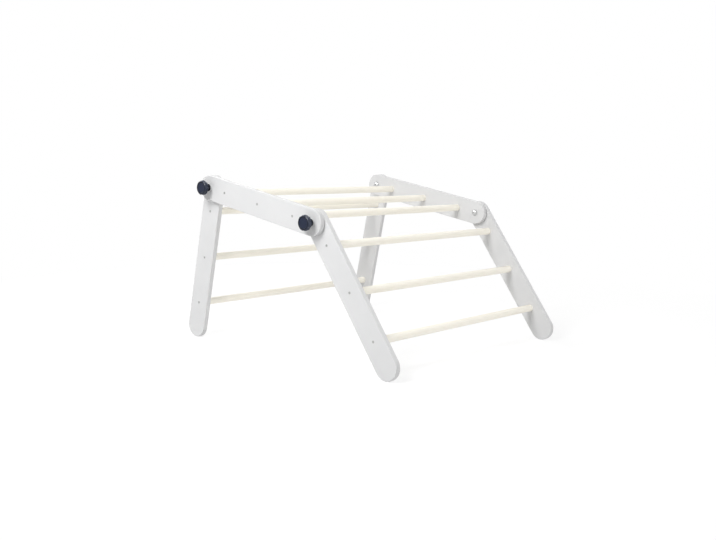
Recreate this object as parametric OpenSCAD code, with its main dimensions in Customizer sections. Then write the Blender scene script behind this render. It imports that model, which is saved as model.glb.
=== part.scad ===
// Folding climbing triangle, set up as a low arch.
// Three equal ladder panels, each of two boards and three rungs, are joined end to end at two
// hinge lines. At both ends of the top panel its boards lie beside the boards of a leg panel,
// and a bolt with a hand knob clamps each overlap. The top panel sits one board thickness to
// the near side (-Y) of the two leg panels.
// X runs from the back legs to the front legs, Y from the near to the far side, Z is up.

/* [Boards] */
// From the hinge centre to the foot centre of a board, the same on all six
hinge_to_foot = 500; // [420:5:700]
// Width of a board, which is also the diameter of its round ends
board_width = 85; // [70:1:105]
// Thickness of a board
board_thickness = 18; // [15:0.5:24]
// Radius that eases the edges of a board
edge_radius = 2.5; // [1:0.5:4]

/* [Rungs] */
// Diameter of a rung
rung_diameter = 25; // [22:0.5:32]
// Length of a rung between the inner faces of its two boards
rung_clear_length = 860; // [500:10:1000]
// From the hinge centre to the first rung, and from the last rung to the foot centre
end_rung_distance = 84; // [78:1:110]
// Depth to which the end of a rung is let into its board
socket_depth = 8; // [5:0.5:11]

/* [Stance] */
// Slope of the top panel down to the front
top_slope = 10; // [5:0.5:20]
// Steepness of the back legs, measured from the floor
back_leg_angle = 79; // [65:0.5:85]

/* [Rung screws] */
// Diameter of the countersunk head
screw_head_diameter = 8.5; // [7:0.1:10]
// Depth of the head's cone
screw_head_depth = 2.2; // [1.5:0.1:3]
// Diameter of the screw's core below the head
screw_core_diameter = 4.2; // [3:0.1:5]
// Whole length of a screw
screw_length = 50; // [35:1:60]
// Width across the flats of the socket in the head
screw_socket_width = 3; // [2:0.1:4]
// Depth of the socket in the head
screw_socket_depth = 1.6; // [1:0.1:2.5]

/* [Pivot bolts] */
// Diameter of a bolt's shank
bolt_diameter = 8; // [6:1:10]
// Diameter of the domed head
bolt_head_diameter = 17.5; // [14:0.5:20]
// Height of the domed head
bolt_head_height = 4.5; // [3.5:0.1:6]
// Width across the flats of the hexagon socket
bolt_socket_width = 5; // [4:0.5:6]
// Depth of the hexagon socket
bolt_socket_depth = 2.6; // [2:0.1:3]
// How far the bolt reaches into the knob's insert
thread_engagement = 14; // [10:0.5:15]

/* [Washers] */
// Diameter of the steel washers under the bolt heads and the knobs
washer_diameter = 24; // [20:0.5:25]
// Thickness of the steel washers
washer_thickness = 2; // [1:0.1:3]
// Diameter of the friction washers between overlapping boards
friction_washer_diameter = 40; // [24:1:60]
// Thickness of the friction washers
friction_washer_thickness = 0.96; // [0.5:0.02:2]

/* [Knobs] */
// Diameter over the lobes of a knob
knob_diameter = 51; // [46:1:60]
// Height of a knob
knob_height = 32.5; // [27:0.5:36]
// Diameter of the hub that presses on the washer
hub_diameter = 25; // [24:0.5:28]
// Height of the straight part of the hub
hub_height = 11; // [8:0.5:13]
// Height of the curved flare from the hub out to the grip
flare_height = 6.5; // [4:0.5:8]
// How much the grip narrows towards the flare, on the radius
grip_taper = 1.4; // [0.5:0.1:2]
// Radius of the rounded front edge of the grip
front_edge_radius = 6; // [1.5:0.1:7]
// Number of lobes round the grip
lobe_count = 7; // [6:1:8]
// Radius of a lobe
lobe_radius = 10.4; // [9:0.1:11]
// Depth of the flutes between the lobes
flute_depth = 2.8; // [2:0.1:3.5]
// Radius of a flute
flute_radius = 7; // [6:0.1:9]
// Diameter of the dished front face
dish_diameter = 36; // [30:1:38]
// Depth of the dished front face
dish_depth = 1.6; // [0.8:0.1:2.5]
// How much the turned outline trims from the crests of the lobes
crest_trim = 0.4; // [0.2:0.1:0.8]

/* [Knob inserts] */
// Diameter of the brass insert
insert_diameter = 12; // [12:0.5:14]
// Length of the brass insert
insert_length = 16; // [15.5:0.5:18]
// Depth of the grooves that lock the insert in the plastic
insert_groove_depth = 0.8; // [0.4:0.1:1]

/* [Fits] */
// Running clearance on the radius between the bolts and what turns on them
pivot_clearance = 0.06; // [0.03:0.01:0.1]
// Clearance on the radius between a rung and its socket, which glue fills
socket_clearance = 0.1; // [0.05:0.01:0.2]
// Clearance round a screw in its hole and countersink
screw_clearance = 0.08; // [0.05:0.01:0.15]
// Clearance on the radius between the insert and the plastic round it
insert_clearance = 0.02; // [0.01:0.01:0.05]
// Clearance on each face of a friction washer
face_clearance = 0.02; // [0.01:0.01:0.05]
// Free depth left beyond the tip of a screw or a bolt
tip_clearance = 2; // [1:0.5:4]

/* [Hidden] */
$fn = 64;
PANELS = ["back_leg", "top", "front_leg"];
SIDES = ["near", "far"];
HINGES = ["back", "front"];
rung_count = 3;
RUNGS = [for (i = [1:rung_count]) i];
PIVOT_PIECES = ["bolt", "bolt_washer", "friction_washer", "knob_washer", "knob", "knob_insert"];

white_paint = [0.92, 0.92, 0.92];
pale_wood = [0.96, 0.91, 0.78];
zinc = [0.68, 0.69, 0.70];
brass = [0.80, 0.65, 0.32];
navy_plastic = [0.07, 0.09, 0.14];
nylon = [0.85, 0.85, 0.82];

// The front legs take the slope that brings their feet to the floor too.
front_leg_angle = asin(sin(back_leg_angle) - sin(top_slope));
end_radius = board_width / 2;
rung_pitch = (hinge_to_foot - 2 * end_rung_distance) / (rung_count - 1);

// Positions across the object, from the outer face of the near top board
board_gap = friction_washer_thickness + 2 * face_clearance;
top_offset = 0;
leg_offset = board_thickness + board_gap;
rung_start = board_thickness;
far_board_start = board_thickness + rung_clear_length;
far_face = leg_offset + far_board_start + board_thickness;

// Hinge lines seen from the side, from the back hinge
back_hinge = [0, 0];
front_hinge = hinge_to_foot * [cos(top_slope), -sin(top_slope)];

// The origin is on the floor, under the centre of the whole object.
lowest_x = -hinge_to_foot * cos(back_leg_angle) - end_radius;
highest_x = front_hinge[0] + hinge_to_foot * cos(front_leg_angle) + end_radius;
origin_x = (lowest_x + highest_x) / 2;
origin_y = far_face / 2;
floor_depth = hinge_to_foot * sin(back_leg_angle) + end_radius;

bolt_radius = bolt_diameter / 2;
pivot_stack = 2 * board_thickness + board_gap;
bolt_length = 2 * washer_thickness + pivot_stack + thread_engagement;
bolt_tip_chamfer = 1;
knob_radius = knob_diameter / 2;
screw_core_radius = screw_core_diameter / 2;
screw_hole_radius = screw_core_radius + screw_clearance;
cut_overlap = 1;

function board_name(panel, side) = str(panel, "_board_", side);
function rung_name(panel, i) = str(panel, "_rung_", i);
function screws_name(panel) = str(panel, "_screws");
function pivot_name(side, hinge, piece) = str(side, "_", hinge, "_", piece);
function rung_position(i) = end_rung_distance + (i - 1) * rung_pitch;
function panel_offset(panel) = panel == "top" ? top_offset : leg_offset;
function hinge_point(hinge) = hinge == "back" ? back_hinge : front_hinge;
// Downward turn from +X of the line from a panel's hinge to its far end
function panel_turn(panel) =
    panel == "top" ? top_slope :
    panel == "back_leg" ? 180 - back_leg_angle :
    front_leg_angle;
function panel_hinge(panel) = panel == "front_leg" ? front_hinge : back_hinge;

// Moves from the back hinge to the floor under the object's centre.
module on_the_floor() {
    translate([-origin_x, -origin_y, floor_depth]) children();
}

// A panel's own space: X along its boards from the hinge, Y across from the near outer face.
module in_panel(panel) {
    hinge = panel_hinge(panel);
    on_the_floor()
        translate([hinge[0], panel_offset(panel), hinge[1]])
            rotate([0, panel_turn(panel), 0]) children();
}

// A pivot's own space: Z outwards along the bolt from the outer face of the overlapping boards.
module in_pivot(side, hinge) {
    point = hinge_point(hinge);
    near = side == "near";
    on_the_floor()
        translate([point[0], near ? 0 : far_face, point[1]])
            rotate([near ? 90 : -90, 0, 0]) children();
}

// Half of a board's section, from its centre line to its edge, with the edge eased
module half_section() {
    inner_width = end_radius - edge_radius;
    square([inner_width, board_thickness]);
    translate([0, edge_radius]) square([end_radius, board_thickness - 2 * edge_radius]);
    for (y = [edge_radius, board_thickness - edge_radius])
        translate([inner_width, y]) circle(r = edge_radius);
}

// One board with its outer face at Y = 0 and its hinge centre at the origin
module board_blank() {
    rotate([-90, 0, 0]) rotate([0, 0, 90]) rotate_extrude(angle = 180) half_section();
    translate([hinge_to_foot, 0, 0])
        rotate([-90, 0, 0]) rotate([0, 0, -90]) rotate_extrude(angle = 180) half_section();
    for (flip = [0, 1])
        mirror([0, 0, flip])
            rotate([90, 0, 90]) linear_extrude(hinge_to_foot) rotate(90) mirror([0, 1, 0]) half_section();
}

// Hole and countersink for a rung screw, from the outer face at Y = 0
module screw_hole() {
    head_radius = screw_head_diameter / 2 + screw_clearance;
    rotate([-90, 0, 0]) {
        translate([0, 0, -cut_overlap]) cylinder(r = screw_hole_radius, h = board_thickness);
        cylinder(r1 = head_radius, r2 = screw_hole_radius, h = screw_head_depth);
    }
}

// Blind hole that takes a rung's end, from the inner face at Y = board_thickness
module rung_socket() {
    translate([0, board_thickness - socket_depth, 0])
        rotate([-90, 0, 0])
            cylinder(r = rung_diameter / 2 + socket_clearance, h = socket_depth + cut_overlap);
}

// The foot of a leg board has no bore; both ends of a top board have one.
module drilled_board(bores) {
    difference() {
        board_blank();
        for (x = bores)
            translate([x, -cut_overlap, 0]) rotate([-90, 0, 0])
                cylinder(r = bolt_radius + pivot_clearance, h = board_thickness + 2 * cut_overlap);
        for (i = RUNGS)
            translate([rung_position(i), 0, 0]) {
                screw_hole();
                rung_socket();
            }
    }
}

module board(panel, side) {
    bores = panel == "top" ? [0, hinge_to_foot] : [0];
    far = side == "far";
    color(white_paint) in_panel(panel)
        translate([0, far ? far_board_start + board_thickness : 0, 0])
            mirror([0, far ? 1 : 0, 0]) drilled_board(bores);
}

// A dowel let into both boards, with a pilot hole for the screw in each end
module rung(panel, i) {
    rung_length = rung_clear_length + 2 * socket_depth;
    pilot_depth = screw_length - (board_thickness - socket_depth) + tip_clearance;
    color(pale_wood) in_panel(panel)
        translate([rung_position(i), rung_start - socket_depth, 0]) rotate([-90, 0, 0])
            difference() {
                cylinder(d = rung_diameter, h = rung_length);
                for (z = [-cut_overlap, rung_length - pilot_depth])
                    translate([0, 0, z]) cylinder(r = screw_hole_radius, h = pilot_depth + cut_overlap);
            }
}

// A countersunk wood screw with its head at Z = 0, pointing along +Z
module screw() {
    tip_length = 2 * screw_core_diameter;
    difference() {
        union() {
            cylinder(d1 = screw_head_diameter, d2 = screw_core_diameter, h = screw_head_depth);
            cylinder(r = screw_core_radius, h = screw_length - tip_length);
            translate([0, 0, screw_length - tip_length])
                cylinder(r1 = screw_core_radius, r2 = screw_core_radius / 6, h = tip_length);
        }
        translate([0, 0, -cut_overlap])
            cylinder(d = screw_socket_width / cos(30), h = screw_socket_depth + cut_overlap, $fn = 6);
    }
}

// The six screws of a panel, three through each board into the rung ends
module screws(panel) {
    color(zinc) in_panel(panel)
        for (i = RUNGS)
            translate([rung_position(i), 0, 0]) {
                rotate([-90, 0, 0]) screw();
                translate([0, far_board_start + board_thickness, 0]) rotate([90, 0, 0]) screw();
            }
}

module flat_washer(diameter, thickness) {
    difference() {
        cylinder(d = diameter, h = thickness);
        translate([0, 0, -cut_overlap])
            cylinder(r = bolt_radius + pivot_clearance, h = thickness + 2 * cut_overlap);
    }
}

// A button-head bolt, put in from the inner face, whose tip ends inside the knob
module bolt(side, hinge) {
    head_radius = bolt_head_diameter / 2;
    head_rim = bolt_head_height / 5;
    dome_height = bolt_head_height - head_rim;
    dome_radius = (head_radius ^ 2 + dome_height ^ 2) / (2 * dome_height);
    color(zinc) in_pivot(side, hinge)
        translate([0, 0, -pivot_stack - washer_thickness]) difference() {
            union() {
                cylinder(r = bolt_radius, h = bolt_length - bolt_tip_chamfer);
                translate([0, 0, bolt_length - bolt_tip_chamfer])
                    cylinder(r1 = bolt_radius, r2 = bolt_radius - bolt_tip_chamfer, h = bolt_tip_chamfer);
                translate([0, 0, -head_rim]) cylinder(r = head_radius, h = head_rim);
                intersection() {
                    translate([0, 0, dome_radius - bolt_head_height]) sphere(r = dome_radius);
                    translate([0, 0, -bolt_head_height]) cylinder(r = head_radius, h = dome_height);
                }
            }
            translate([0, 0, -bolt_head_height - cut_overlap])
                cylinder(d = bolt_socket_width / cos(30), h = bolt_socket_depth + cut_overlap, $fn = 6);
        }
}

module bolt_washer(side, hinge) {
    color(zinc) in_pivot(side, hinge)
        translate([0, 0, -pivot_stack - washer_thickness]) flat_washer(washer_diameter, washer_thickness);
}

module friction_washer(side, hinge) {
    color(nylon) in_pivot(side, hinge)
        translate([0, 0, face_clearance - board_thickness - board_gap])
            flat_washer(friction_washer_diameter, friction_washer_thickness);
}

module knob_washer(side, hinge) {
    color(zinc) in_pivot(side, hinge) flat_washer(washer_diameter, washer_thickness);
}

// Turned outline of a knob: hub, flare, tapered grip, rounded front edge and dished face
module knob_turning() {
    hub_radius = hub_diameter / 2;
    flare_reach = knob_radius - grip_taper - hub_radius;
    // The flare leaves the hub along its side and runs out flat under the grip.
    flare = [
        for (turn = [0:15:90])
            [hub_radius + flare_reach * (1 - cos(turn)), hub_height + flare_height * sin(turn)]
    ];
    edge_centre = knob_radius - front_edge_radius;
    rotate_extrude() {
        difference() {
            polygon(concat([[0, 0], [hub_radius, 0]], flare, [
                [knob_radius, knob_height - front_edge_radius],
                [edge_centre, knob_height],
                [0, knob_height]
            ]));
            polygon([
                [0, knob_height - dish_depth],
                [dish_diameter / 2 - dish_depth, knob_height - dish_depth],
                [dish_diameter / 2 + cut_overlap, knob_height + cut_overlap],
                [0, knob_height + cut_overlap]
            ]);
        }
        intersection() {
            translate([edge_centre, knob_height - front_edge_radius]) circle(r = front_edge_radius);
            translate([edge_centre, knob_height - front_edge_radius]) square(front_edge_radius);
        }
    }
}

// Broad lobes with one crest at the top, parted by narrower rounded flutes
module knob_outline() {
    lobe_angle = 360 / lobe_count;
    difference() {
        union() {
            circle(r = knob_radius - 0.8 * flute_depth);
            for (k = [0:lobe_count - 1])
                rotate(90 + k * lobe_angle)
                    translate([knob_radius + crest_trim - lobe_radius, 0]) circle(r = lobe_radius);
        }
        for (k = [0:lobe_count - 1])
            rotate(90 + (k + 0.5) * lobe_angle)
                translate([knob_radius - flute_depth + flute_radius, 0]) circle(r = flute_radius);
    }
}

// A moulded hand knob, blind at the front, round a brass insert
module knob(side, hinge) {
    color(navy_plastic) in_pivot(side, hinge)
        translate([0, 0, washer_thickness]) difference() {
            intersection() {
                knob_turning();
                linear_extrude(knob_height) knob_outline();
            }
            translate([0, 0, -cut_overlap])
                cylinder(r = insert_diameter / 2 + insert_clearance, h = insert_length + cut_overlap);
            cylinder(r = bolt_radius + pivot_clearance, h = thread_engagement + tip_clearance);
        }
}

// A brass bush with two locking grooves, flush with the hub's face
module knob_insert(side, hinge) {
    groove_width = insert_length / 8;
    insert_radius = insert_diameter / 2;
    color(brass) in_pivot(side, hinge)
        translate([0, 0, washer_thickness]) difference() {
            cylinder(r = insert_radius, h = insert_length);
            translate([0, 0, -cut_overlap])
                cylinder(r = bolt_radius + pivot_clearance, h = insert_length + 2 * cut_overlap);
            for (z = [insert_length / 4, insert_length * 5 / 8])
                translate([0, 0, z]) difference() {
                    cylinder(r = insert_radius + cut_overlap, h = groove_width);
                    cylinder(r = insert_radius - insert_groove_depth, h = groove_width);
                }
        }
}

for (panel = PANELS) {
    for (side = SIDES)
        board(panel, side);
    for (i = RUNGS)
        rung(panel, i);
    screws(panel);
}

for (side = SIDES)
    for (hinge = HINGES) {
        bolt(side, hinge);
        bolt_washer(side, hinge);
        friction_washer(side, hinge);
        knob_washer(side, hinge);
        knob(side, hinge);
        knob_insert(side, hinge);
    }
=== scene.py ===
"""Looks of a folding climbing triangle that stands as a low arch, in metres, in the CAD's frame."""

import math

import bmesh
import bpy
from mathutils import Euler, Matrix, Vector


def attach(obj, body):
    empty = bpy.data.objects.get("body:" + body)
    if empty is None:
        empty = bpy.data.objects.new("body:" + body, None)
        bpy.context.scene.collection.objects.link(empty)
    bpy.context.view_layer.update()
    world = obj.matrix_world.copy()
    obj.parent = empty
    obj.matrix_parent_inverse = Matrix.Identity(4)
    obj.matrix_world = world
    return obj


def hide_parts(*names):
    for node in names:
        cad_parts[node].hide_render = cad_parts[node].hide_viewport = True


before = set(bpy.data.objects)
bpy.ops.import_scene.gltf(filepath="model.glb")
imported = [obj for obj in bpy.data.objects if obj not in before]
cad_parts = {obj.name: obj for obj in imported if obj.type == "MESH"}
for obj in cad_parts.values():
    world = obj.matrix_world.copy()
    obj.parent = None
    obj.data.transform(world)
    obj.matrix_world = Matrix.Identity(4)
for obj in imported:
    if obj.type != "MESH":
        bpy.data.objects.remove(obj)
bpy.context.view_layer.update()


# -------------------------------------------------------------------------------------------------
# Boards: six equal boards of planed hardwood, 585 x 85 x 18 mm, sawn with fully round ends, eased
# all round and painted satin white. Each is drilled for its pivot bolts, countersunk for three
# screws in the outer face and bored 8 mm deep for three rung ends in the inner face.

HINGE_TO_FOOT = 0.5
BOARD_WIDTH = 0.085
BOARD_THICKNESS = 0.018
BOARD_EASE = 0.0025
ROUND_END_VERTICES = 128
RUNG_PLACES = (0.084, 0.25, 0.416)
BOLT_BORE = 0.00812
SCREW_BORE = 0.00436
COUNTERSINK = 0.00866
COUNTERSINK_DEPTH = 0.0022
SOCKET_BORE = 0.0252
SOCKET_DEPTH = 0.008
CUT_PAST = 0.001
# How near two places are to count as one
TOUCH = 1e-6
# Lays a primitive's own Z axis along Y
ALONG_Y = (math.radians(90), 0, 0)
HALF_TURN = Matrix.Rotation(math.pi, 4, "X")

# X and Z of the hinge, downward turn from +X, and Y of the outer faces of the near and far board
PANELS = {
    "back_leg": (-0.345803, 0.533314, 101.0, {"near": -0.4385, "far": 0.4575}),
    "top": (-0.345803, 0.533314, 10.0, {"near": -0.4575, "far": 0.4385}),
    "front_leg": (0.146601, 0.44649, 53.899, {"near": -0.4385, "far": 0.4575}),
}


def only(piece):
    """Selects this piece alone and makes it the active one."""
    bpy.ops.object.select_all(action="DESELECT")
    piece.select_set(True)
    bpy.context.view_layer.objects.active = piece
    return piece


def start(name, primitive, **sizes):
    """Adds a primitive as the start of a piece, and enters edit mode with nothing selected."""
    bpy.ops.object.select_all(action="DESELECT")
    primitive(**sizes)
    piece = bpy.context.active_object
    piece.name = piece.data.name = name
    bpy.ops.object.transform_apply(location=True, rotation=True, scale=True)
    bpy.ops.object.mode_set(mode="EDIT")
    bpy.ops.mesh.select_all(action="DESELECT")
    return piece


def mark(piece, kind, test):
    """Selects, in edit mode, the VERT, EDGE or FACE parts whose middle and direction pass."""
    bpy.ops.mesh.select_mode(type=kind)
    bpy.ops.mesh.select_all(action="DESELECT")
    mesh = bmesh.from_edit_mesh(piece.data)
    mesh.normal_update()
    parts = {"VERT": mesh.verts, "EDGE": mesh.edges, "FACE": mesh.faces}[kind]
    for part in parts:
        if kind == "VERT":
            part.select_set(test(part.co, part.normal))
        elif kind == "EDGE":
            first, last = (corner.co for corner in part.verts)
            part.select_set(test((first + last) / 2, (last - first).normalized()))
        else:
            part.select_set(test(part.calc_center_median(), part.normal))
    mesh.select_flush_mode()
    bmesh.update_edit_mesh(piece.data)


def runs_across(_, way):
    """Whether an edge runs across the Y axis, and not along it."""
    return abs(way.y) < 0.5


def pull(x, y, z):
    """Extrudes what is selected by that offset."""
    bpy.ops.mesh.extrude_region_move(TRANSFORM_OT_translate={"value": (x, y, z)})


def close(piece):
    """Merges doubles, turns the faces outwards and leaves edit mode."""
    bpy.ops.mesh.select_mode(type="VERT")
    bpy.ops.mesh.select_all(action="SELECT")
    bpy.ops.mesh.remove_doubles(threshold=TOUCH)
    bpy.ops.mesh.normals_make_consistent(inside=False)
    bpy.ops.object.mode_set(mode="OBJECT")
    return piece


def modify(piece, kind, **settings):
    """Adds a modifier to the piece and applies it."""
    only(piece)
    modifier = piece.modifiers.new(kind.lower(), kind)
    for key, value in settings.items():
        setattr(modifier, key, value)
    bpy.ops.object.modifier_apply(modifier=modifier.name)
    return piece


def cut(piece, *cutters):
    """Cuts the cutters out of the piece and throws them away."""
    for cutter in cutters:
        modify(piece, "BOOLEAN", operation="DIFFERENCE", solver="EXACT", object=cutter)
        bpy.data.objects.remove(cutter)
    return piece


def smooth(piece, angle=35):
    """Shades what is curved smooth, and keeps what is flat flat."""
    only(piece)
    bpy.ops.object.shade_smooth_by_angle(angle=math.radians(angle))
    return modify(piece, "WEIGHTED_NORMAL", keep_sharp=True, weight=100)


def copy_of(piece, name):
    """A copy of the piece with a mesh of its own."""
    only(piece)
    bpy.ops.object.duplicate(linked=False)
    twin = bpy.context.active_object
    twin.name = twin.data.name = name
    return twin


def settle(piece, matrix):
    """Moves the piece to its place and puts that place in its mesh."""
    only(piece)
    piece.matrix_world = matrix
    bpy.context.view_layer.update()
    bpy.ops.object.transform_apply(location=True, rotation=True, scale=True)
    return piece


def in_panel(panel, along=0.0, across=0.0):
    """From a panel's own space, X along its boards from the hinge, to where the panel stands."""
    hinge_x, hinge_z, turn, _ = PANELS[panel]
    hinge = Matrix.Translation((hinge_x, 0, hinge_z))
    stance = hinge @ Matrix.Rotation(math.radians(turn), 4, "Y")
    return stance @ Matrix.Translation((along, across, 0))


def facing(side):
    """The turn of a piece made for the near side: half a turn for the far side, else none."""
    return HALF_TURN if side == "far" else Matrix()


def turned(name, outline, vertices=48):
    """A solid turned on the Y axis, from its outline of (radius, Y) from one end to the other."""
    radius, y = outline[0]
    piece = start(name, bpy.ops.mesh.primitive_circle_add, vertices=vertices, radius=radius,
                  fill_type="NGON", location=(0, y, 0), rotation=ALONG_Y)
    bpy.ops.mesh.select_all(action="SELECT")
    for new_radius, new_y in outline[1:]:
        pull(0, new_y - y, 0)
        grow = new_radius / radius
        bpy.ops.transform.resize(value=(grow, 1, grow), center_override=(0, 0, 0))
        radius, y = new_radius, new_y
    return close(piece)


def bolt_bore(x):
    """A cutter for the hole of a pivot bolt."""
    cutter = turned("bolt_bore", [
        (BOLT_BORE / 2, -CUT_PAST), (BOLT_BORE / 2, BOARD_THICKNESS + CUT_PAST)])
    return settle(cutter, Matrix.Translation((x, 0, 0)))


def rung_bore(x):
    """A cutter for a rung: its screw's countersink and hole, and the socket of its end."""
    floor = BOARD_THICKNESS - SOCKET_DEPTH
    slope = (COUNTERSINK - SCREW_BORE) / 2 / COUNTERSINK_DEPTH
    cutter = turned("rung_bore", [
        (COUNTERSINK / 2 + slope * CUT_PAST, -CUT_PAST), (SCREW_BORE / 2, COUNTERSINK_DEPTH),
        (SCREW_BORE / 2, floor), (SOCKET_BORE / 2, floor),
        (SOCKET_BORE / 2, BOARD_THICKNESS + CUT_PAST)])
    return settle(cutter, Matrix.Translation((x, 0, 0)))


leg_board = start("leg_board", bpy.ops.mesh.primitive_circle_add, vertices=ROUND_END_VERTICES,
                  radius=BOARD_WIDTH / 2, fill_type="NGON",
                  rotation=(math.radians(90), math.pi / ROUND_END_VERTICES, 0))
mark(leg_board, "VERT", lambda at, _: at.x > 0)
bpy.ops.transform.translate(value=(HINGE_TO_FOOT, 0, 0))
bpy.ops.mesh.select_all(action="SELECT")
pull(0, BOARD_THICKNESS, 0)
mark(leg_board, "EDGE", runs_across)
bpy.ops.mesh.bevel(offset=BOARD_EASE, segments=4, profile=0.5, affect="EDGES")
close(leg_board)
cut(leg_board, bolt_bore(0), *[rung_bore(x) for x in RUNG_PLACES])
top_board = cut(copy_of(leg_board, "top_board"), bolt_bore(HINGE_TO_FOOT))
smooth(leg_board)
smooth(top_board)

# The two colour inputs and the colour output of a Mix node
MIX_FIRST, MIX_SECOND, MIX_RESULT = 6, 7, 2


def put(tree, kind, sockets=None, **settings):
    """Adds a node with its settings. Each socket takes a value, or the output that feeds it."""
    node = tree.nodes.new(kind)
    for key, value in settings.items():
        setattr(node, key, value)
    for key, value in (sockets or {}).items():
        if isinstance(value, bpy.types.NodeSocket):
            tree.links.new(value, node.inputs[key])
        else:
            node.inputs[key].default_value = value
    return node


def maths(tree, operation, *values):
    """The output of a Math node on those values or outputs."""
    return put(tree, "ShaderNodeMath", dict(enumerate(values)), operation=operation).outputs[0]


def between(tree, value, low, high, to_low=0.0, to_high=1.0):
    """The value spread from low..high to to_low..to_high, without going past them."""
    sockets = {"Value": value, "From Min": low, "From Max": high,
               "To Min": to_low, "To Max": to_high}
    return put(tree, "ShaderNodeMapRange", sockets).outputs[0]


def blend(tree, share, first, second):
    """A mix of two colours, each given as a colour or as the output that feeds it."""
    sockets = {"Factor": share}
    for key, end in ((MIX_FIRST, first), (MIX_SECOND, second)):
        sockets[key] = (*end, 1) if isinstance(end, tuple) else end
    return put(tree, "ShaderNodeMix", sockets, data_type="RGBA").outputs[MIX_RESULT]


def noise(tree, vector, scale, detail=2.0, roughness=0.5, distortion=0.0):
    """The value of a noise texture at that scale."""
    sockets = {"Vector": vector, "Scale": scale, "Detail": detail, "Roughness": roughness,
               "Distortion": distortion}
    return put(tree, "ShaderNodeTexNoise", sockets).outputs["Fac"]


def rings(tree, radius, scale, detail):
    """The value of a noise that changes with the radius alone, as the lines of a lathe do."""
    sockets = {"W": radius, "Scale": scale, "Detail": detail}
    return put(tree, "ShaderNodeTexNoise", sockets, noise_dimensions="1D").outputs["Fac"]


def stretched(tree, vector, scale):
    """The vector with each axis scaled by its own factor."""
    sockets = {0: vector, 1: scale}
    return put(tree, "ShaderNodeVectorMath", sockets, operation="MULTIPLY").outputs[0]


def group(name, inputs, outputs):
    """An empty node group with those sockets, and its tree's input and output nodes."""
    tree = bpy.data.node_groups.new(name, "ShaderNodeTree")
    for label, kind, value in inputs:
        socket = tree.interface.new_socket(label, in_out="INPUT", socket_type=kind)
        if value is not None:
            socket.default_value = value
    for label in outputs:
        tree.interface.new_socket(label, in_out="OUTPUT", socket_type="NodeSocketFloat")
    return tree, tree.nodes.new("NodeGroupInput"), tree.nodes.new("NodeGroupOutput")


# Grain that runs along X, in metres: for each output, how its noise is stretched, its detail,
# roughness and distortion, and the range of it that is spread from 0 to 1
GRAIN = {
    "Fibre": ((7, 950, 950), 3, 0.6, 0.0, (0.3, 0.7)),
    "Figure": ((1.6, 120, 120), 3, 0.55, 0.6, (0.35, 0.65)),
    "Pores": ((90, 2600, 2600), 1, 0.5, 0.0, (0.62, 0.72)),
}
wood_grain, given, made = group("wood_grain", [("Vector", "NodeSocketVector", None)], GRAIN)
for label, (stretch, detail, roughness, distortion, spread) in GRAIN.items():
    value = noise(wood_grain, stretched(wood_grain, given.outputs["Vector"], stretch), 1,
                  detail, roughness, distortion)
    wood_grain.links.new(between(wood_grain, value, *spread), made.inputs[label])

# Fine peel and wide uneven patches, which every finish here has
finish_marks, given, made = group("finish_marks", [
    ("Vector", "NodeSocketVector", None), ("Peel Scale", "NodeSocketFloat", 500.0)],
    ["Peel", "Patches"])
peel = noise(finish_marks, given.outputs["Vector"], given.outputs["Peel Scale"])
patches = noise(finish_marks, given.outputs["Vector"], scale=14, detail=4, roughness=0.55,
                distortion=0.4)
finish_marks.links.new(peel, made.inputs["Peel"])
finish_marks.links.new(between(finish_marks, patches, 0.35, 0.65), made.inputs["Patches"])

PAINT = (0.71, 0.711, 0.714)
PAINT_PATCH = (0.692, 0.694, 0.697)
PAINT_ARRIS = (0.655, 0.65, 0.64)
# Painted shade: the narrow edges of the boards are painted darker than the faces, and the round
# ends darker still, partly as paint sunk into end grain and partly as painted shade
PAINT_EDGE_SHADE = (0.65, 0.651, 0.654)
PAINT_END_GRAIN_AND_SHADE = (0.60, 0.60, 0.602)
PAINT_ROUGHNESS = (0.37, 0.46)
PAINT_PEEL_SCALE = 420
PAINT_FIBRE_SHARE = 0.35
PAINT_RELIEF = 0.00006
PAINT_RELIEF_STRENGTH = 0.6
# The arris lies this far from the board's middle line, with full effect and then fading out
ARRIS_DISTANCE = 0.0414
ARRIS_CORE = 0.0002
ARRIS_SPREAD = 0.0010
# How much of the growth figure thins the paint on the arris, from faint to strong
THINNING_FIGURE = (0.2, 1.0)
THINNING = (0.12, 0.6)
# The painted edge shade starts and is full between the first two distances from the board's middle
# line, and deepens into the round ends' shade between the last two distances past the end of the
# straight part
EDGE_SHADE_START = 0.0405
EDGE_SHADE_END = 0.0424
END_GRAIN_SHADE_START = 0.002
END_GRAIN_SHADE_END = 0.02


def material(name, metallic=0.0):
    """A material with a Principled BSDF: its tree, that shader and the Object coordinates."""
    made = bpy.data.materials.new(name)
    made.use_nodes = True
    tree = made.node_tree
    shader = tree.nodes["Principled BSDF"]
    shader.inputs["Metallic"].default_value = metallic
    place = put(tree, "ShaderNodeTexCoord").outputs["Object"]
    return made, tree, shader, place


def marks_of(tree, vector, peel_scale):
    """The peel and the patches of a finish at those coordinates."""
    sockets = {"Vector": vector, "Peel Scale": peel_scale}
    return put(tree, "ShaderNodeGroup", sockets, node_tree=finish_marks).outputs


def grain_of(tree, vector):
    """The fibre, figure and pores of wood at those coordinates, whose X runs along the grain."""
    return put(tree, "ShaderNodeGroup", {"Vector": vector}, node_tree=wood_grain).outputs


def feed(tree, shader, **outputs):
    """Links each output to the shader's input of that name, in which _ stands for a space."""
    for name, output in outputs.items():
        tree.links.new(output, shader.inputs[name.replace("_", " ")])


def relief(tree, height, distance, strength=1.0):
    """The normal of a bump of that height, in metres."""
    sockets = {"Height": height, "Distance": distance, "Strength": strength}
    return put(tree, "ShaderNodeBump", sockets).outputs["Normal"]


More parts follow.
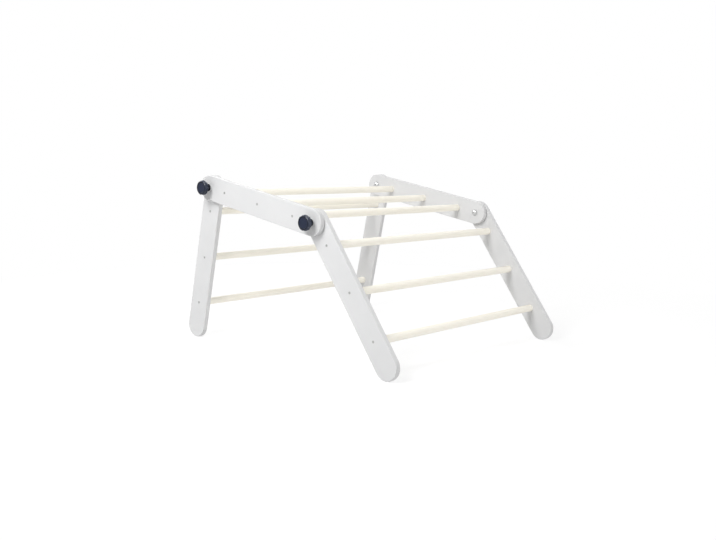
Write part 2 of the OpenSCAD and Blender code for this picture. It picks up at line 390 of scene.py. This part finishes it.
def white_paint(panel):
    """Satin paint on a panel's boards: peel, a hint of grain, thin arrises, and painted shade on
    the narrow edges, deeper on the round ends, where it is partly paint sunk into end grain.
    """
    hinge_x, hinge_z, turn, _ = PANELS[panel]
    made, tree, shader, place = material(f"white_paint_{panel}")
    unturn = Matrix.Rotation(-math.radians(turn), 3, "Y")
    along = put(tree, "ShaderNodeMapping", {
        "Vector": place, "Location": -(unturn @ Vector((hinge_x, 0, hinge_z))),
        "Rotation": (0, -math.radians(turn), 0)}).outputs["Vector"]
    grain = grain_of(tree, along)
    marks = marks_of(tree, along, PAINT_PEEL_SCALE)
    axes = put(tree, "ShaderNodeSeparateXYZ", {"Vector": along}).outputs
    line = {"Value": axes["X"], "Min": 0.0, "Max": HINGE_TO_FOOT}
    past_end = maths(tree, "SUBTRACT", axes["X"], put(tree, "ShaderNodeClamp", line).outputs[0])
    squares = [maths(tree, "POWER", offset, 2.0) for offset in (past_end, axes["Z"])]
    from_line = maths(tree, "SQRT", maths(tree, "ADD", *squares))
    off_arris = maths(tree, "ABSOLUTE", maths(tree, "SUBTRACT", from_line, ARRIS_DISTANCE))
    thin = maths(tree, "MULTIPLY", between(tree, off_arris, ARRIS_CORE, ARRIS_SPREAD, 1.0, 0.0),
                 between(tree, grain["Figure"], *THINNING_FIGURE, *THINNING))
    # Painted shade on the narrow edges, darker on the round ends
    at_end = between(tree, maths(tree, "ABSOLUTE", past_end), END_GRAIN_SHADE_START, END_GRAIN_SHADE_END)
    edge = blend(tree, at_end, PAINT_EDGE_SHADE, PAINT_END_GRAIN_AND_SHADE)
    paint = blend(tree, marks["Patches"], PAINT, PAINT_PATCH)
    paint = blend(tree, between(tree, from_line, EDGE_SHADE_START, EDGE_SHADE_END), paint, edge)
    height = maths(tree, "MULTIPLY_ADD", grain["Fibre"], PAINT_FIBRE_SHARE, marks["Peel"])
    feed(tree, shader,
         Base_Color=blend(tree, thin, paint, PAINT_ARRIS),
         Roughness=between(tree, marks["Patches"], 0, 1, *PAINT_ROUGHNESS),
         Normal=relief(tree, height, PAINT_RELIEF, PAINT_RELIEF_STRENGTH))
    return made


for panel, (_, _, _, faces) in PANELS.items():
    paint = white_paint(panel)
    for side, face in faces.items():
        board = copy_of(top_board if panel == "top" else leg_board, f"{side}_{panel}_board")
        settle(board, in_panel(panel, across=face) @ facing(side))
        board.data.materials.append(paint)
        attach(board, f"{panel}_panel")
        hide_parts(f"{panel}_board_{side}")
bpy.data.objects.remove(leg_board)
bpy.data.objects.remove(top_board)


# -------------------------------------------------------------------------------------------------
# Rungs: nine turned dowels of pale hardwood, 25 mm across and 860 mm long between the boards, with
# clear matt lacquer. Each end is eased, let 8 mm into its board and glued, and has a pilot hole
# for the screw that holds it.

RUNG_RADIUS = 0.0125
RUNG_LENGTH = 0.86 + 2 * SOCKET_DEPTH
RUNG_EASE = 0.001
PILOT_DEPTH = 0.042

rung = start("rung", bpy.ops.mesh.primitive_cylinder_add, vertices=64, radius=RUNG_RADIUS,
             depth=RUNG_LENGTH, end_fill_type="NGON", location=(0, RUNG_LENGTH / 2, 0),
             rotation=ALONG_Y)
mark(rung, "EDGE", runs_across)
bpy.ops.mesh.bevel(offset=RUNG_EASE, segments=3, profile=0.5, affect="EDGES")
mark(rung, "EDGE", lambda at, _: abs(at.y - RUNG_LENGTH / 2) < TOUCH)
bpy.ops.mesh.subdivide(number_cuts=23)
for end, inwards in ((0, 1), (RUNG_LENGTH, -1)):
    mark(rung, "FACE", lambda at, _: abs(at.y - end) < TOUCH)
    bpy.ops.mesh.inset(thickness=RUNG_RADIUS - RUNG_EASE - SCREW_BORE / 2, depth=0)
    pull(0, inwards * PILOT_DEPTH, 0)
close(rung)
smooth(rung)

WOOD = (0.965, 0.935, 0.855)
WOOD_DARK = (0.945, 0.895, 0.775)
WOOD_FIBRE = (0.885, 0.82, 0.665)
WOOD_ROUGHNESS = (0.40, 0.5)
FIGURE_SHARE = 0.45
FIBRE_SHARE = 0.22
PORE_SHARE = 0.3
WOOD_RELIEF = 0.00004
WOOD_RELIEF_STRENGTH = 0.5

lacquered_wood, tree, shader, place = material("lacquered_wood")
lengthwise = put(tree, "ShaderNodeMapping", {
    "Vector": place, "Rotation": (0, 0, math.radians(90))}).outputs["Vector"]
grain = grain_of(tree, lengthwise)
marks = put(tree, "ShaderNodeGroup", {"Vector": place}, node_tree=finish_marks).outputs
figured = blend(tree, maths(tree, "MULTIPLY", grain["Figure"], FIGURE_SHARE), WOOD, WOOD_DARK)
streaks = maths(tree, "MULTIPLY_ADD", grain["Fibre"], FIBRE_SHARE,
                maths(tree, "MULTIPLY", grain["Pores"], PORE_SHARE))
height = maths(tree, "SUBTRACT", grain["Fibre"], grain["Pores"])
feed(tree, shader,
     Base_Color=blend(tree, streaks, figured, WOOD_FIBRE),
     Roughness=between(tree, marks["Patches"], 0, 1, *WOOD_ROUGHNESS),
     Normal=relief(tree, height, WOOD_RELIEF, WOOD_RELIEF_STRENGTH))

for panel, (_, _, _, faces) in PANELS.items():
    for number, along in enumerate(RUNG_PLACES, 1):
        dowel = copy_of(rung, f"{panel}_dowel_{number}")
        settle(dowel, in_panel(panel, along, faces["near"] + BOARD_THICKNESS - SOCKET_DEPTH))
        dowel.data.materials.append(lacquered_wood)
        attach(dowel, f"{panel}_panel")
        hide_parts(f"{panel}_rung_{number}")
bpy.data.objects.remove(rung)


# -------------------------------------------------------------------------------------------------
# Rung screws: 18 zinc-plated countersunk wood screws with a hexagon socket, driven through the
# boards into the rung ends, with their heads flush with the paint.

SCREW_OUTLINE = [
    (0.0028, 0), (0.0039, 0), (0.00418, 0.00005), (0.00425, 0.00018), (0.0021, 0.0022),
    (0.0021, 0.0416), (0.0009, 0.0482), (0.0002, 0.05),
]
SCREW_SOCKET = 0.003
SCREW_SOCKET_DEPTH = 0.0016


def hexagon_cutter(across_flats, first_y, last_y):
    """A six-sided cutter along Y, for the socket in the head of a screw or a bolt."""
    return close(start("socket", bpy.ops.mesh.primitive_cylinder_add, vertices=6,
                       radius=across_flats / 2 / math.cos(math.radians(30)),
                       depth=last_y - first_y, end_fill_type="NGON",
                       location=(0, (first_y + last_y) / 2, 0), rotation=ALONG_Y))


screw = turned("screw", SCREW_OUTLINE)
cut(screw, hexagon_cutter(SCREW_SOCKET, -CUT_PAST, SCREW_SOCKET_DEPTH))
smooth(screw)

SCREW_ZINC = (0.42, 0.42, 0.415)
SCREW_ZINC_BLOOM = (0.50, 0.50, 0.49)
SCREW_ROUGHNESS = (0.3, 0.4)
SCREW_GRAIN_SCALE = 2500
SCREW_RELIEF = 0.00001
ZINC_PEEL_SCALE = 1800
# The range in which most of the peel's values lie
PEEL_RANGE = (0.3, 0.7)


def zinc_plate(name, plating, bloom, roughness):
    """Zinc plating with a faint cloudy bloom: the material, and its tree, shader and place."""
    made, tree, shader, place = material(name, metallic=1.0)
    peel = marks_of(tree, place, ZINC_PEEL_SCALE)["Peel"]
    feed(tree, shader, Base_Color=blend(tree, peel, plating, bloom),
         Roughness=between(tree, peel, *PEEL_RANGE, *roughness))
    return made, tree, shader, place


screw_zinc, tree, shader, place = zinc_plate(
    "screw_zinc", SCREW_ZINC, SCREW_ZINC_BLOOM, SCREW_ROUGHNESS)
feed(tree, shader, Normal=relief(tree, noise(tree, place, SCREW_GRAIN_SCALE), SCREW_RELIEF))

for panel, (_, _, _, faces) in PANELS.items():
    for number, along in enumerate(RUNG_PLACES, 1):
        for side, face in faces.items():
            fixing = copy_of(screw, f"{side}_{panel}_screw_{number}")
            settle(fixing, in_panel(panel, along, face) @ facing(side))
            fixing.data.materials.append(screw_zinc)
            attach(fixing, f"{panel}_panel")
            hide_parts(f"{panel}_screws")
bpy.data.objects.remove(screw)


# -------------------------------------------------------------------------------------------------
# Pivot bolts and washers: four M8 button-head bolts of zinc-plated steel with a hexagon socket,
# put in from the inner faces. A steel washer lies under each head and each knob, and a thin nylon
# one keeps the two boards apart.

PIVOTS = {"back": PANELS["back_leg"][:2], "front": PANELS["front_leg"][:2]}
OUTER_FACES = {"near": -0.4575, "far": 0.4575}
PIVOT_STACK = 0.037
PIVOT_VERTICES = 64
WASHER_THICKNESS = 0.002
WASHER_RADIUS = 0.012
WASHER_EASE = 0.0003
WASHER_ROUNDING = 0.0001
BOLT_RADIUS = 0.004
BOLT_TIP = -0.016
BOLT_CHAMFER = 0.001
BOLT_SOCKET = 0.005
BOLT_SOCKET_DEPTH = 0.0026
HEAD_RADIUS = 0.00875
HEAD_HEIGHT = 0.0045
HEAD_RIM = 0.0009
DOME_RADII = (0.0035, 0.0045, 0.0055, 0.0065, 0.0074, 0.0081, 0.0085)
# Radius and height of the head's rounded rim, the height as a share of the rim's own
RIM_OUTLINE = ((0.00866, 1.1), (0.00874, 0.8), (0.00874, 0.3), (0.0085, 0))


def in_pivot(side, hinge):
    """From a near pivot's own space, Y = 0 on the outer face of its boards, to where it stands."""
    hinge_x, hinge_z = PIVOTS[hinge]
    return Matrix.Translation((hinge_x, OUTER_FACES[side], hinge_z)) @ facing(side)


head_start = PIVOT_STACK + WASHER_THICKNESS
head_top = head_start + HEAD_HEIGHT
dome_height = HEAD_HEIGHT - HEAD_RIM
dome_radius = (HEAD_RADIUS ** 2 + dome_height ** 2) / (2 * dome_height)
dome = [(r, head_top - dome_radius + math.sqrt(dome_radius ** 2 - r ** 2)) for r in DOME_RADII]
rim = [(r, head_start + HEAD_RIM * share) for r, share in RIM_OUTLINE]
shank = [(BOLT_RADIUS, head_start), (BOLT_RADIUS, BOLT_TIP + BOLT_CHAMFER),
         (BOLT_RADIUS - BOLT_CHAMFER, BOLT_TIP)]
bolt = turned("bolt", dome + rim + shank, PIVOT_VERTICES)
cut(bolt, hexagon_cutter(BOLT_SOCKET, head_top - BOLT_SOCKET_DEPTH, head_top + CUT_PAST))
smooth(bolt)

washer = turned("washer", [
    (WASHER_RADIUS - WASHER_EASE, 0), (WASHER_RADIUS - WASHER_ROUNDING, WASHER_ROUNDING),
    (WASHER_RADIUS, WASHER_EASE), (WASHER_RADIUS, WASHER_THICKNESS - WASHER_EASE),
    (WASHER_RADIUS - WASHER_ROUNDING, WASHER_THICKNESS - WASHER_ROUNDING),
    (WASHER_RADIUS - WASHER_EASE, WASHER_THICKNESS)], PIVOT_VERTICES)
cut(washer, bolt_bore(0))
smooth(washer)

ZINC = (0.50, 0.505, 0.51)
ZINC_BLOOM = (0.60, 0.605, 0.60)
ZINC_ROUGHNESS = (0.24, 0.34)
TURNED_LINES = 5200
TURNED_RELIEF = 0.00001
TURNED_RELIEF_STRENGTH = 0.7
NYLON = (0.80, 0.79, 0.74)
NYLON_PATCH = (0.75, 0.74, 0.68)
NYLON_ROUGHNESS = (0.42, 0.55)
NYLON_PEEL_SCALE = 1200
NYLON_RELIEF = 0.00002
NYLON_SCATTER = 0.15
NYLON_SCATTER_SCALE = 0.002

nylon, tree, shader, place = material("natural_nylon")
shader.inputs["Subsurface Weight"].default_value = NYLON_SCATTER
shader.inputs["Subsurface Scale"].default_value = NYLON_SCATTER_SCALE
marks = marks_of(tree, place, NYLON_PEEL_SCALE)
feed(tree, shader,
     Base_Color=blend(tree, marks["Patches"], NYLON, NYLON_PATCH),
     Roughness=between(tree, marks["Peel"], *PEEL_RANGE, *NYLON_ROUGHNESS),
     Normal=relief(tree, marks["Peel"], NYLON_RELIEF))


def from_axis(tree, place, hinge):
    """Distance from the axis of a hinge's pivots."""
    hinge_x, hinge_z = PIVOTS[hinge]
    centred = put(tree, "ShaderNodeMapping", {
        "Vector": place, "Location": (-hinge_x, 0, -hinge_z), "Scale": (1, 0, 1)}).outputs["Vector"]
    return put(tree, "ShaderNodeVectorMath", {0: centred}, operation="LENGTH").outputs["Value"]


for hinge in PIVOTS:
    turned_zinc, tree, shader, place = zinc_plate(
        f"turned_zinc_{hinge}", ZINC, ZINC_BLOOM, ZINC_ROUGHNESS)
    lines = rings(tree, from_axis(tree, place, hinge), TURNED_LINES, 2.0)
    feed(tree, shader, Normal=relief(tree, lines, TURNED_RELIEF, TURNED_RELIEF_STRENGTH))
    for side in OUTER_FACES:
        holder = "top_panel" if side == "far" else f"{hinge}_leg_panel"
        pieces = {
            "bolt": (copy_of(bolt, f"{side}_{hinge}_button_bolt"), 0, holder),
            "bolt_washer": (copy_of(washer, f"{side}_{hinge}_head_washer"), PIVOT_STACK, holder),
            "knob_washer": (copy_of(washer, f"{side}_{hinge}_hub_washer"), -WASHER_THICKNESS,
                            f"{side}_{hinge}_clamp"),
        }
        for node, (piece, y, body) in pieces.items():
            settle(piece, in_pivot(side, hinge) @ Matrix.Translation((0, y, 0)))
            piece.data.materials.append(turned_zinc)
            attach(piece, body)
            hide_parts(f"{side}_{hinge}_{node}")
        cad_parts[f"{side}_{hinge}_friction_washer"].material_slots[0].material = nylon
bpy.data.objects.remove(bolt)
bpy.data.objects.remove(washer)


# -------------------------------------------------------------------------------------------------
# Clamp knobs: four hand knobs of dark navy plastic, moulded round a brass insert. A round hub
# flares out to a tapered grip with seven lobes, whose front has a rounded edge and a dished face.

KNOB_VERTICES = 112
KNOB_STEP = 2 * math.pi / KNOB_VERTICES
LOBES = 7
LOBE_STEP = 2 * math.pi / LOBES
LOBE_RADIUS = 0.0104
LOBE_CENTRE = 0.0155
LOBE_ROOT = 0.02326
FLUTE_RADIUS = 0.007
FLUTE_CENTRE = 0.0297
FLUTE_BLEND = 0.0009
# Radius and distance from the hub's face, in mm, from the bottom of the insert's pocket outwards
KNOB_OUTLINE = [
    (6.02, 16), (6.02, 0.4), (6.4, 0), (11.9, 0), (12.3, 0.12), (12.5, 0.5), (12.5, 1.2),
    (12.5, 9.8), (12.52, 11.2), (12.9, 12.7), (14.05, 14.25), (15.9, 15.6), (18.3, 16.6),
    (21.0, 17.25), (22.6, 17.45), (23.5, 17.6), (23.95, 18.0), (24.25, 18.9), (24.6, 20.8),
    (25.0, 23.3), (25.35, 25.2), (25.5, 26.6), (25.3, 28.0), (24.65, 29.3), (23.6, 30.4),
    (22.5, 31.2), (21.4, 31.92), (20.4, 32.38), (19.5, 32.5), (18.9, 32.5), (18.4, 32.42),
    (17.95, 32.1), (17.5, 31.6), (16.95, 31.15), (16.3, 30.92), (15.5, 30.9), (13, 30.9),
    (9, 30.9), (5, 30.9), (2, 30.9),
]
FIRST_GRIP_RING = 13
# A corner that would move less than this, as a share of its radius, stays where it is
LEAST_PRESS = 0.9999


def lobed(turn):
    """Radius of the lobed outline at that angle from the crest of a lobe."""
    lobe = LOBE_ROOT
    if LOBE_CENTRE * math.sin(turn) < LOBE_RADIUS:
        over = math.sqrt(LOBE_RADIUS ** 2 - (LOBE_CENTRE * math.sin(turn)) ** 2)
        lobe = max(lobe, LOBE_CENTRE * math.cos(turn) + over)
    away = LOBE_STEP / 2 - turn
    if FLUTE_CENTRE * math.sin(away) >= FLUTE_RADIUS:
        return lobe
    under = math.sqrt(FLUTE_RADIUS ** 2 - (FLUTE_CENTRE * math.sin(away)) ** 2)
    return min(lobe, FLUTE_CENTRE * math.cos(away) - under)


def blended_least(first, second):
    """The lesser of two radii, rounded off where they are about equal."""
    near = max(FLUTE_BLEND - abs(first - second), 0) / FLUTE_BLEND
    return min(first, second) - near ** 2 * FLUTE_BLEND / 4


def from_crest(at):
    """Angle from the crest of the nearest lobe."""
    turn = math.atan2(at.x, at.z) % LOBE_STEP
    return min(turn, LOBE_STEP - turn)


def on_ring(at, radius, y, turn):
    """Whether a corner lies on the ring of that radius and Y, at that angle from a crest."""
    return (abs(at.y - y) < TOUCH and abs(math.hypot(at.x, at.z) - radius) < TOUCH
            and abs(from_crest(at) - turn) < KNOB_STEP / 4)


outline = [(r / 1000, -WASHER_THICKNESS - h / 1000) for r, h in KNOB_OUTLINE]
knob = turned("knob", outline, KNOB_VERTICES)
bpy.ops.object.mode_set(mode="EDIT")
for radius, y in outline[FIRST_GRIP_RING:]:
    for k in range(KNOB_VERTICES // LOBES // 2 + 1):
        press = blended_least(radius, lobed(k * KNOB_STEP)) / radius
        if press < LEAST_PRESS:
            mark(knob, "VERT", lambda at, _: on_ring(at, radius, y, k * KNOB_STEP))
            bpy.ops.transform.resize(value=(press, 1, press), center_override=(0, 0, 0))
close(knob)
modify(knob, "SUBSURF", levels=1, render_levels=1)
smooth(knob, angle=50)

NAVY = (0.004, 0.006, 0.014)
NAVY_SHEEN = (0.012, 0.020, 0.045)
NAVY_FACE_SHEEN = (0.017, 0.023, 0.046)
NAVY_PEEL_SCALE = 2600
NAVY_SPECULAR = 0.16
# The grip is glossier and painted a paler blue as sheen from one radius to the next, and more or
# less so from patch to patch
GRIP_START = 0.0195
GRIP_END = 0.0225
GRIP_SHEEN_PATCHES = (0.6, 1)
GRIP_ROUGHNESS = (0.32, 0.25)
GRIP_COAT = 0.6
GRIP_COAT_ROUGHNESS = 0.34
# The face, painted paler as sheen, ends between these radii, and lies past this distance from the
# XZ plane
FACE_START = 0.0168
FACE_END = 0.0176
FACE_LEVEL = 0.487
FACE_LEVEL_SPREAD = 0.001
FACE_ROUGHER = 0.1
FACE_LINES = 3200
FACE_LINE_SHARE = 0.5
KNOB_RELIEF = 0.00003
KNOB_RELIEF_STRENGTH = 0.8


def moulded_plastic(hinge):
    """Dark plastic of a hinge's knobs: fine grain, a lined face painted paler as sheen, and a
    glossier grip painted paler blue as sheen.
    """
    made, tree, shader, place = material(f"navy_plastic_{hinge}")
    shader.inputs["Specular IOR Level"].default_value = NAVY_SPECULAR
    shader.inputs["Coat Roughness"].default_value = GRIP_COAT_ROUGHNESS
    marks = marks_of(tree, place, NAVY_PEEL_SCALE)
    radius = from_axis(tree, place, hinge)
    y = put(tree, "ShaderNodeSeparateXYZ", {"Vector": place}).outputs["Y"]
    outwards = maths(tree, "ABSOLUTE", y)
    grip_gloss_and_sheen = maths(tree, "MULTIPLY", between(tree, radius, GRIP_START, GRIP_END),
                   between(tree, marks["Patches"], 0, 1, *GRIP_SHEEN_PATCHES))
    # The face, whose paler colour is painted sheen
    face = maths(tree, "MULTIPLY", between(tree, radius, FACE_START, FACE_END, 1, 0),
                 between(tree, outwards, FACE_LEVEL, FACE_LEVEL + FACE_LEVEL_SPREAD))
    # Painted sheen: the grip between those radii is painted a paler blue
    grip_colour = blend(tree, grip_gloss_and_sheen, NAVY, NAVY_SHEEN)
    grip_roughness = between(tree, grip_gloss_and_sheen, 0, 1, *GRIP_ROUGHNESS)
    lines = maths(tree, "MULTIPLY", rings(tree, radius, FACE_LINES, 1.0), face)
    height = maths(tree, "MULTIPLY_ADD", lines, FACE_LINE_SHARE, marks["Peel"])
    feed(tree, shader,
         Base_Color=blend(tree, face, grip_colour, NAVY_FACE_SHEEN),
         Roughness=maths(tree, "MULTIPLY_ADD", face, FACE_ROUGHER, grip_roughness),
         Coat_Weight=maths(tree, "MULTIPLY", grip_gloss_and_sheen, GRIP_COAT),
         Normal=relief(tree, height, KNOB_RELIEF, KNOB_RELIEF_STRENGTH))
    return made


BRASS = (0.72, 0.50, 0.20)
BRASS_DULL = (0.62, 0.41, 0.15)
BRASS_ROUGHNESS = (0.24, 0.4)
BRASS_PEEL_SCALE = 1500
BRASS_LINES = (1, 3000, 1)
BRASS_RELIEF = 0.00001

brass, tree, shader, place = material("turned_brass", metallic=1.0)
peel = marks_of(tree, place, BRASS_PEEL_SCALE)["Peel"]
lines = noise(tree, stretched(tree, place, BRASS_LINES), 1)
feed(tree, shader,
     Base_Color=blend(tree, peel, BRASS, BRASS_DULL),
     Roughness=between(tree, peel, *PEEL_RANGE, *BRASS_ROUGHNESS),
     Normal=relief(tree, lines, BRASS_RELIEF))

for hinge in PIVOTS:
    navy_plastic = moulded_plastic(hinge)
    for side in OUTER_FACES:
        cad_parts[f"{side}_{hinge}_knob_insert"].material_slots[0].material = brass
        grip = copy_of(knob, f"{side}_{hinge}_hand_knob")
        settle(grip, in_pivot(side, hinge))
        grip.data.materials.append(navy_plastic)
        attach(grip, f"{side}_{hinge}_clamp")
        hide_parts(f"{side}_{hinge}_knob")
bpy.data.objects.remove(knob)


# -------------------------------------------------------------------------------------------------
# Studio: a white floor that runs out to a white surround, four soft lamps and an even fill. Rays
# that look at the floor or the surround see them white, with the object's shadow still on the
# floor.

FLOOR_RADIUS = 9
FLOOR_WHITE = 0.75
SEEN_SHARE = 0.3
SEEN_GLOW = 0.73
FADE_START = 0.9
FADE_END = 2.2
FILL = 0.25
AIM = Vector((0, 0, 0.25))
# Turn from the front (-Y) towards +X and height, in degrees, distance and size in metres, and watts
LAMPS = {
    "front": (5, 38, 2.8, 1.1, 48),
    "left": (-90, 40, 4, 2.6, 98),
    "right": (95, 14, 4, 2.6, 60),
    "behind": (180, 35, 4, 2.6, 26),
}
CAMERA_PLACE = (2.06202, -2.38444, 0.65639)
# Degrees below the horizon, turn from +Y towards -X, and tilt of the picture
CAMERA_DOWN = 7.413
CAMERA_TURN = 41.726
CAMERA_TILT = 1.182
# The lens in pixels of a picture of that width, and the width of the sensor in mm
LENS_PIXELS = 889.21
PICTURE_WIDTH = 716
SENSOR_WIDTH = 36


def looking(tree):
    """1 for the rays that look: camera, glossy and transmission ones."""
    rays = put(tree, "ShaderNodeLightPath").outputs
    glossy = maths(tree, "MAXIMUM", rays["Is Glossy Ray"], rays["Is Transmission Ray"])
    return maths(tree, "MAXIMUM", rays["Is Camera Ray"], glossy)


def matt(tree, level):
    """A matt grey shader of that level."""
    return put(tree, "ShaderNodeBsdfDiffuse", {"Color": (level, level, level, 1)}).outputs[0]


floor = start("floor", bpy.ops.mesh.primitive_circle_add, vertices=64, radius=FLOOR_RADIUS,
              fill_type="NGON")
bpy.ops.object.mode_set(mode="OBJECT")
floor_white = bpy.data.materials.new("floor_white")
floor_white.use_nodes = True
floor.data.materials.append(floor_white)
tree = floor_white.node_tree
tree.nodes.clear()
glow, white = (put(tree, "ShaderNodeEmission", {"Strength": strength}).outputs[0]
               for strength in (SEEN_GLOW, 1.0))
near = put(tree, "ShaderNodeAddShader", {0: matt(tree, SEEN_SHARE), 1: glow}).outputs[0]
place = put(tree, "ShaderNodeTexCoord").outputs["Object"]
away = put(tree, "ShaderNodeVectorMath", {0: place}, operation="LENGTH").outputs["Value"]
seen = put(tree, "ShaderNodeMixShader", {
    0: between(tree, away, FADE_START, FADE_END), 1: near, 2: white}).outputs[0]
shown = put(tree, "ShaderNodeMixShader", {
    0: looking(tree), 1: matt(tree, FLOOR_WHITE), 2: seen}).outputs[0]
put(tree, "ShaderNodeOutputMaterial", {"Surface": shown})

studio = bpy.data.worlds.new("studio")
studio.use_nodes = True
bpy.context.scene.world = studio
tree = studio.node_tree
strength = maths(tree, "MULTIPLY_ADD", looking(tree), 1 - FILL, FILL)
tree.links.new(strength, tree.nodes["Background"].inputs["Strength"])
tree.nodes["Background"].inputs["Color"].default_value = (1, 1, 1, 1)

for name, (turn, height, distance, size, watts) in LAMPS.items():
    lamp = bpy.data.objects.new(name, bpy.data.lights.new(name, "AREA"))
    lamp.data.energy = watts
    lamp.data.size = size
    towards = Euler((math.radians(-height), 0, math.radians(turn))).to_matrix()
    lamp.location = AIM + towards @ Vector((0, -distance, 0))
    lamp.rotation_euler = (AIM - lamp.location).to_track_quat("-Z", "Y").to_euler()
    bpy.context.scene.collection.objects.link(lamp)

camera = bpy.data.objects.new("camera", bpy.data.cameras.new("camera"))
camera.data.sensor_width = SENSOR_WIDTH
camera.data.lens = SENSOR_WIDTH * LENS_PIXELS / PICTURE_WIDTH
camera.location = CAMERA_PLACE
aim = Euler((math.radians(90 - CAMERA_DOWN), 0, math.radians(CAMERA_TURN))).to_matrix()
tilt = Matrix.Rotation(math.radians(CAMERA_TILT), 3, "Z")
camera.rotation_euler = (aim @ tilt).to_euler()
bpy.context.scene.collection.objects.link(camera)
bpy.context.scene.camera = camera
bpy.context.scene.view_settings.view_transform = "Standard"
